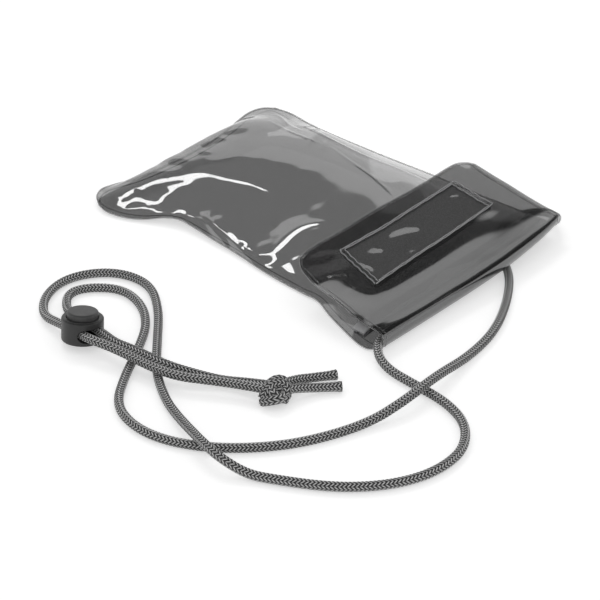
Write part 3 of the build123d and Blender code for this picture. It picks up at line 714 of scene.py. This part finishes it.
def draped_heights(heights, facing, leaning, where):
    """Height at each place in plan of film draped through heights and slopes.

    heights holds x, y, z. facing holds x, y, degrees down towards the near corner and degrees down to
    its side. leaning holds x, y, degrees down towards the near corner, and leaves the side free."""
    slopes = []
    for x, y, near, side in facing:
        fall = -math.tan(math.radians(near)) * NEAR_WAY - math.tan(math.radians(side)) * SIDE_WAY
        slopes.append((x, y, 1, 0, fall[0]))
        slopes.append((x, y, 0, 1, fall[1]))
    for x, y, near in leaning:
        slopes.append((x, y, NEAR_WAY[0], NEAR_WAY[1], -math.tan(math.radians(near))))
    p = np.array(heights, float)
    q = np.array(slopes, float)
    n, m = len(p), len(q)
    ways = q[:, 2:4]

    def distance(d):
        return np.sqrt((d**2).sum(-1)) + 1e-9

    def lift(d):
        return distance(d) ** 3

    def slope(d):
        return 3 * distance(d)[..., None] * d

    def turn(d):
        r = distance(d)[..., None, None]
        return 3 * (r * np.eye(2) + d[..., :, None] * d[..., None, :] / r)

    full = np.zeros((n + m + 3, n + m + 3))
    full[:n, :n] = lift(p[:, None, :2] - p[None, :, :2]) + np.eye(n) * HEIGHT_SLACK
    full[:n, n : n + m] = -(slope(p[:, None, :2] - q[None, :, :2]) * ways[None]).sum(-1)
    full[n : n + m, :n] = full[:n, n : n + m].T
    turns = turn(q[:, None, :2] - q[None, :, :2])
    full[n : n + m, n : n + m] = -np.einsum("ia,ijab,jb->ij", ways, turns, ways)
    full[n : n + m, n : n + m] += np.eye(m) * SLOPE_SLACK
    full[:n, n + m] = full[n + m, :n] = 1
    full[:n, n + m + 1 :] = p[:, :2]
    full[n + m + 1 :, :n] = p[:, :2].T
    full[n : n + m, n + m + 1 :] = ways
    full[n + m + 1 :, n : n + m] = ways.T
    w = np.linalg.lstsq(full, np.concatenate([p[:, 2], q[:, 4], [0, 0, 0]]), rcond=1e-12)[0]
    at = where.reshape(-1, where.shape[-1])[:, :2]
    z = lift(at[:, None] - p[None, :, :2]) @ w[:n]
    z -= (slope(at[:, None] - q[None, :, :2]) * ways[None]).sum(-1) @ w[n : n + m]
    z += w[n + m] + at @ w[n + m + 1 :]
    return z.reshape(where.shape[:-1])


def inner_side(grid, gap):
    """The same sheet moved inwards by a gap, square to its surface."""
    across = np.gradient(grid, axis=1)
    along = np.gradient(grid, axis=0)
    out = np.cross(across, along)
    out /= np.linalg.norm(out, axis=2)[..., None] + 1e-12
    return grid - out * gap


CREASES = [
    (0.35, 0.9, [(-36.5, -36.5), (-24, -39.5), (-13.8, -41.5), (2.4, -45.0), (11, -46.8)]),
    (0.30, 0.8, [(-38.5, -41.2), (-30, -40.0), (-21.4, -41.8), (-12, -44.0)]),
    (0.45, 1.3, [(-53.8, 43.8), (-33.6, 41.7), (-15.1, 41.1), (3.8, 42.6), (19.6, 44.0)]),
    (0.40, 1.0, [(-70.5, 46.0), (-64.5, 43.6), (-55.1, 38.6), (-44.9, 37.6)]),
    (0.30, 0.9, [(-64.3, 35.3), (-53.7, 33.3), (-43.9, 33.3), (-31.0, 33.7)]),
    (0.45, 1.1, [(-47.0, 50.5), (-45.5, 46.5), (-45.0, 42.0)]),
    (0.40, 1.0, [(-52.5, 51.5), (-51.0, 47.5), (-50.5, 43.0)]),
    (0.35, 1.2, [(-39.4, 36.5), (-36.0, 32.0), (-34.0, 29.0)]),
    (0.35, 1.2, [(-33.0, 37.5), (-29.0, 32.5), (-26.5, 29.0)]),
    (0.30, 1.0, [(-27.2, 34.8), (-11.5, 30.5), (4.4, 27.0), (18.7, 22.4), (25.1, 18.9)]),
]
LEDGES = [
    (
        [0, 1.4, 2.2, 3.3, 4.5, 5.4, 0],
        [2, 2.6, 2.6, 2.2, 1.8, 1.4],
        [
            (-59.6, -26.2), (-55.5, -20.6), (-50.8, -16.8), (-44.3, -14.7), (-38.1, -12.5),
            (-31.9, -10.3), (-24.5, -9.3), (-15.7, -8.7),
        ],
    ),
    (
        [0, 0, 8.8, 7.5, 6.2, 8.3, 0],
        [1.8, 2.4, 2.4, 2.4, 2.2, 1.8],
        [
            (12.1, -46.3), (10.7, -42.4), (9.2, -37.4), (8.2, -32.2), (7.3, -26), (7.7, -20.5),
            (9.7, -15.9), (12.9, -13.3), (16.4, -12.9),
        ],
    ),
]
front_grid = patch(NEAR_RIM, FAR_RIM, CLOSED_RIM, MOUTH_RIM, 2 * ROWS - 1, 2 * COLUMNS - 1)
front_grid[..., 2] = draped_heights(FRONT + rim_heights(), FACING, LEANING, front_grid)
for height, width, points in CREASES:
    crease(front_grid, height, width, points)
for falls, widths, points in LEDGES:
    ledge(front_grid, falls, widths, points)
flap_inner = inner_side(flap_grid, FILM_GAP)
front_film = sheet_piece("front_film", [front_grid, flap_inner])
front_film.data.materials.append(FILM)
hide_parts("front_sheet")
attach(front_film, "pouch_and_cord")


# Welded edges
# Two fine pressed lines run along the rim and along the flap's free edges.
def bead(name, line, radius, material, sides=8):
    """A fine round line along points in millimetres."""
    points, _ = even_line(np.asarray(line) / 1000, 0.0012)
    angle = 2 * math.pi * np.arange(sides) / sides
    piece = ring_piece(name, points, round_rings(points, radius / 1000, angle))
    piece.data.materials.append(material)
    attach(piece, "pouch_and_cord")


rim_outer = np.vstack([back_grid[:, 0], back_grid[-1, 1:], back_grid[-2::-1, -1]])
rim_inner = np.vstack([back_grid[:, 4], back_grid[-4, 5:-4], back_grid[-5::-1, -5]])
flap_outer = np.vstack([flap_grid[OUT_OF_FOLD:, 0], flap_grid[-1, 1:], flap_grid[-2:OUT_OF_FOLD:-1, -1]])
flap_second = np.vstack([flap_grid[OUT_OF_FOLD:-4, 3], flap_grid[-4, 4:-3], flap_grid[-5:OUT_OF_FOLD:-1, -4]])
bead("rim_edge", rim_outer, 0.42, WELD)
bead("rim_second_line", rim_inner, 0.24, WELD)
bead("flap_edge", flap_outer, 0.42, WELD)
bead("flap_second_line", flap_second, 0.22, WELD)


# Press-to-close zip
# A ribbed strip under the front film and a grooved one on the back film, pressed together just
# inside the fold, from side to side.
ZIP_LINE = [(72, -56, 1.9), (72, -50, 2.9), (72, -20, 3.7), (72, 10, 4.6), (71.6, 42, 5.8), (71, 54, 6.2)]


def strip_along(name, line, section, material, node):
    """A moulded strip: its section, across and up in millimetres, run along a line."""
    points, _ = even_line(smooth_line(line, 60) / 1000, 0.0015)
    along = np.gradient(points, axis=0)
    along /= np.linalg.norm(along, axis=1)[:, None]
    across = np.cross((0, 0, 1.0), along)
    across /= np.linalg.norm(across, axis=1)[:, None]
    over = np.cross(along, across)
    shape = np.array(section) / 1000
    rings = points[:, None] + shape[None, :, :1] * across[:, None] + shape[None, :, 1:] * over[:, None]
    piece = ring_piece(name, points, rings)
    piece.data.polygons.foreach_set("use_smooth", [False] * len(piece.data.polygons))
    piece.data.materials.append(material)
    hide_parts(node)
    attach(piece, "pouch_and_cord")


ZIP_PLASTIC = film_material("zip_plastic", 0.55, 0.7, 0.2)
RIB_SECTION = [
    (-3, 2.1), (-3, 1.5), (-2.0, 1.5), (-2.0, 0.9), (-1.4, 0.9), (-1.4, 1.5), (1.4, 1.5), (1.4, 0.9),
    (2.0, 0.9), (2.0, 1.5), (3, 1.5), (3, 2.1),
]
GROOVE_SECTION = [
    (-3, -0.6), (3, -0.6), (3, 0), (2.6, 0), (2.6, 1.2), (2.3, 1.2), (2.3, 0), (1.1, 0), (1.1, 1.2),
    (0.8, 1.2), (0.8, 0), (-0.8, 0), (-0.8, 1.2), (-1.1, 1.2), (-1.1, 0), (-2.3, 0), (-2.3, 1.2),
    (-2.6, 1.2), (-2.6, 0), (-3, 0),
]
strip_along("zip_ribs", ZIP_LINE, RIB_SECTION, ZIP_PLASTIC, "zip_rib_strip")
strip_along("zip_grooves", ZIP_LINE, GROOVE_SECTION, ZIP_PLASTIC, "zip_groove_strip")

# Hook-and-loop fastening
# A strip of loop on the front film and one of hook on the flap's inner film, pressed together. It
# is welded on along a serrated double line, which shows on the flap's outer film.
PAD = [(60.2, -32.6), (39.8, -30.4), (37.6, 40.6), (55.8, 43.6)]
OFF_FLAP_HEIGHT = 14.0
TAPE_WIDE, TAPE_LONG = 13, 41
flap_tree = BVHTree.FromPolygons(
    [Vector(v) for v in (flap_grid[OUT_OF_FOLD:].reshape(-1, 3)).tolist()],
    grid_faces(FLAP_ROWS - OUT_OF_FOLD, FLAP_COLUMNS),
)


def on_flap(x, y):
    """Height of the flap's outer film over a place in plan."""
    hit = flap_tree.ray_cast(Vector((x, y, 60)), Vector((0, 0, -1)))[0]
    return hit.z if hit else OFF_FLAP_HEIGHT


def woven_tape(name, colour, bright):
    """Hook-and-loop tape: a mat of fine loops on a woven ground."""
    material, nodes, links, shader = new_material(name)
    where = nodes.new("ShaderNodeTexCoord")
    loops = nodes.new("ShaderNodeTexVoronoi")
    loops.inputs["Scale"].default_value = 1500.0
    links.new(where.outputs["Object"], loops.inputs["Vector"])
    shade = ramp(nodes, links, loops.outputs["Distance"], [(0.0, bright), (0.6, colour)])
    links.new(shade, shader.inputs["Base Color"])
    relief(nodes, links, shader, loops.outputs["Distance"], 0.8, 0.0003)
    shader.inputs["Roughness"].default_value = 0.9
    return material


def tape(name, below, thick, material, node):
    """A strip of tape that follows the flap's underside."""
    a, b, c, d = [np.array(p) for p in PAD]
    rows, columns = TAPE_WIDE, TAPE_LONG
    top = np.zeros((rows, columns, 3))
    for i in range(rows):
        for j in range(columns):
            u, v = i / (rows - 1), j / (columns - 1)
            x, y = (1 - v) * ((1 - u) * a + u * b) + v * ((1 - u) * d + u * c)
            top[i, j] = (x, y, on_flap(x, y) - below)
    bottom = top - np.array((0, 0, thick))
    piece = sheet_piece(name, [top, bottom[:, ::-1]])
    mesh = piece.data
    verts = [tuple(v.co) for v in mesh.vertices]
    faces = [tuple(p.vertices) for p in mesh.polygons]
    n = rows * columns

    def mirror(k):
        return n + (k // columns) * columns + (columns - 1 - k % columns)

    edge = list(range(columns))
    edge += [i * columns + columns - 1 for i in range(1, rows)]
    edge += [(rows - 1) * columns + j for j in range(columns - 2, -1, -1)]
    edge += [i * columns for i in range(rows - 2, 0, -1)]
    for k, m in zip(edge, edge[1:] + edge[:1]):
        faces.append((m, k, mirror(k), mirror(m)))
    mesh.clear_geometry()
    mesh.from_pydata(verts, [], faces)
    mesh.polygons.foreach_set("use_smooth", [True] * len(mesh.polygons))
    mesh.update()
    mesh.materials.append(material)
    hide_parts(node)
    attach(piece, "pouch_and_cord")


HOOKS = woven_tape("hook_tape", 0.45, 0.60)
tape("hook_strip", 0.5, 1.1, HOOKS, "hook_pad")
tape("loop_strip", 1.7, 1.1, HOOKS, "loop_pad")

TO_CORNER = 1.4
TOOTH = 0.6
SERRATION = 0.22
WELD_LIFT = 0.12


def weld_path(inset):
    """Four-sided line on the flap, at an inset from the tape's edge, in steps of a tooth."""
    corners = [Vector((*p, 0)) for p in PAD]
    middle = sum(corners, Vector()) / 4
    path = []
    for k in range(4):
        p, q = corners[k], corners[(k + 1) % 4]
        p = p + (middle - p).normalized() * inset * TO_CORNER
        q = q + (middle - q).normalized() * inset * TO_CORNER
        count = max(4, int((q - p).length / TOOTH))
        for i in range(count):
            path.append(p.lerp(q, i / count))
    path.append(path[0].copy())
    return path


TAPE_WELD = film_material("tape_weld", 0.32, 0.8, 0.2)
for number, (inset, radius) in enumerate(((-0.9, 0.28), (0.7, 0.28)), 1):
    path = weld_path(inset)
    line = []
    for i, p in enumerate(path):
        side = SERRATION if i % 2 else -SERRATION
        line.append((p.x + side * 0.5, p.y + side, on_flap(p.x, p.y) + WELD_LIFT))
    bead(f"tape_weld_{number}", np.array(line), radius, TAPE_WELD, sides=6)

# Room
# A white table that runs out of sight and pale walls, lit from all round. What the film reflects
# has a dark ceiling over the walls.
TABLE_REACH = 4
TABLE_HEIGHT = -0.0002


def looked_at_by(nodes, links, kinds):
    """1 for rays of these kinds and 0 for the others."""
    rays = nodes.new("ShaderNodeLightPath")
    total = rays.outputs[kinds[0]]
    for kind in kinds[1:]:
        total = maths(nodes, links, "ADD", total, rays.outputs[kind])
    return maths(nodes, links, "MINIMUM", total, 1.0)


floor_mesh = bpy.data.meshes.new("table")
table_ways = ((-1, -1), (1, -1), (1, 1), (-1, 1))
floor_corners = [(x * TABLE_REACH, y * TABLE_REACH, TABLE_HEIGHT) for x, y in table_ways]
floor_mesh.from_pydata(floor_corners, [], [(0, 1, 2, 3)])
floor = place("table", floor_mesh)
floor_material = bpy.data.materials.new("white_table")
floor_material.use_nodes = True
nodes = floor_material.node_tree.nodes
links = floor_material.node_tree.links
nodes.clear()
seen_by = looked_at_by(nodes, links, ["Is Camera Ray", "Is Glossy Ray", "Is Transmission Ray"])
paper = nodes.new("ShaderNodeBsdfDiffuse")
paper.inputs["Color"].default_value = (0.8, 0.8, 0.8, 1)
glow = nodes.new("ShaderNodeEmission")
links.new(maths(nodes, links, "MULTIPLY", seen_by, 0.5), glow.inputs["Strength"])
both = nodes.new("ShaderNodeAddShader")
links.new(paper.outputs[0], both.inputs[0])
links.new(glow.outputs[0], both.inputs[1])
out = nodes.new("ShaderNodeOutputMaterial")
links.new(both.outputs[0], out.inputs["Surface"])
floor_mesh.materials.append(floor_material)

world = bpy.data.worlds.new("room")
bpy.context.scene.world = world
world.use_nodes = True
nodes = world.node_tree.nodes
links = world.node_tree.links
nodes.clear()
where = nodes.new("ShaderNodeTexCoord")
split = nodes.new("ShaderNodeSeparateXYZ")
links.new(where.outputs["Generated"], split.inputs[0])
wall = ramp(nodes, links, split.outputs[2], [(0.0, 1.0), (0.580, 1.0), (0.598, 0.05), (1.0, 0.03)])
shine = nodes.new("ShaderNodeBackground")
links.new(wall, shine.inputs["Color"])
light = nodes.new("ShaderNodeBackground")
light.inputs["Color"].default_value = (1, 1, 1, 1)
light.inputs["Strength"].default_value = 0.62
plain = nodes.new("ShaderNodeBackground")
plain.inputs["Color"].default_value = (1, 1, 1, 1)
by_shine = nodes.new("ShaderNodeMixShader")
links.new(looked_at_by(nodes, links, ["Is Glossy Ray"]), by_shine.inputs[0])
links.new(light.outputs[0], by_shine.inputs[1])
links.new(shine.outputs[0], by_shine.inputs[2])
by_view = nodes.new("ShaderNodeMixShader")
links.new(looked_at_by(nodes, links, ["Is Camera Ray", "Is Transmission Ray"]), by_view.inputs[0])
links.new(by_shine.outputs[0], by_view.inputs[1])
links.new(plain.outputs[0], by_view.inputs[2])
out = nodes.new("ShaderNodeOutputWorld")
links.new(by_view.outputs[0], out.inputs["Surface"])

# Lamp
# One bright panel high behind the pouch, whose reflection makes the streaks in the film. Its angles
# are in degrees and its sizes in metres.
LAMP_AZIMUTH = math.radians(150)
LAMP_ELEVATION = math.radians(54.5)
LAMP_DISTANCE = 1.2
LAMP_SIZE = (0.48, 0.17)
LAMP_RADIANCE = 6.5
LAMP_AIM = Vector((0.0, -0.03, 0.0))
away = Vector(
    (
        math.cos(LAMP_AZIMUTH) * math.cos(LAMP_ELEVATION),
        math.sin(LAMP_AZIMUTH) * math.cos(LAMP_ELEVATION),
        math.sin(LAMP_ELEVATION),
    )
)
lamp_data = bpy.data.lights.new("back_panel", "AREA")
lamp_data.shape = "RECTANGLE"
lamp_data.size, lamp_data.size_y = LAMP_SIZE
lamp_data.energy = LAMP_RADIANCE * math.pi * LAMP_SIZE[0] * LAMP_SIZE[1]
lamp = bpy.data.objects.new("back_panel", lamp_data)
facing_pouch = away.to_track_quat("Z", "Y").to_matrix().to_4x4()
lamp.matrix_world = Matrix.Translation(LAMP_AIM + away * LAMP_DISTANCE) @ facing_pouch
bpy.context.collection.objects.link(lamp)
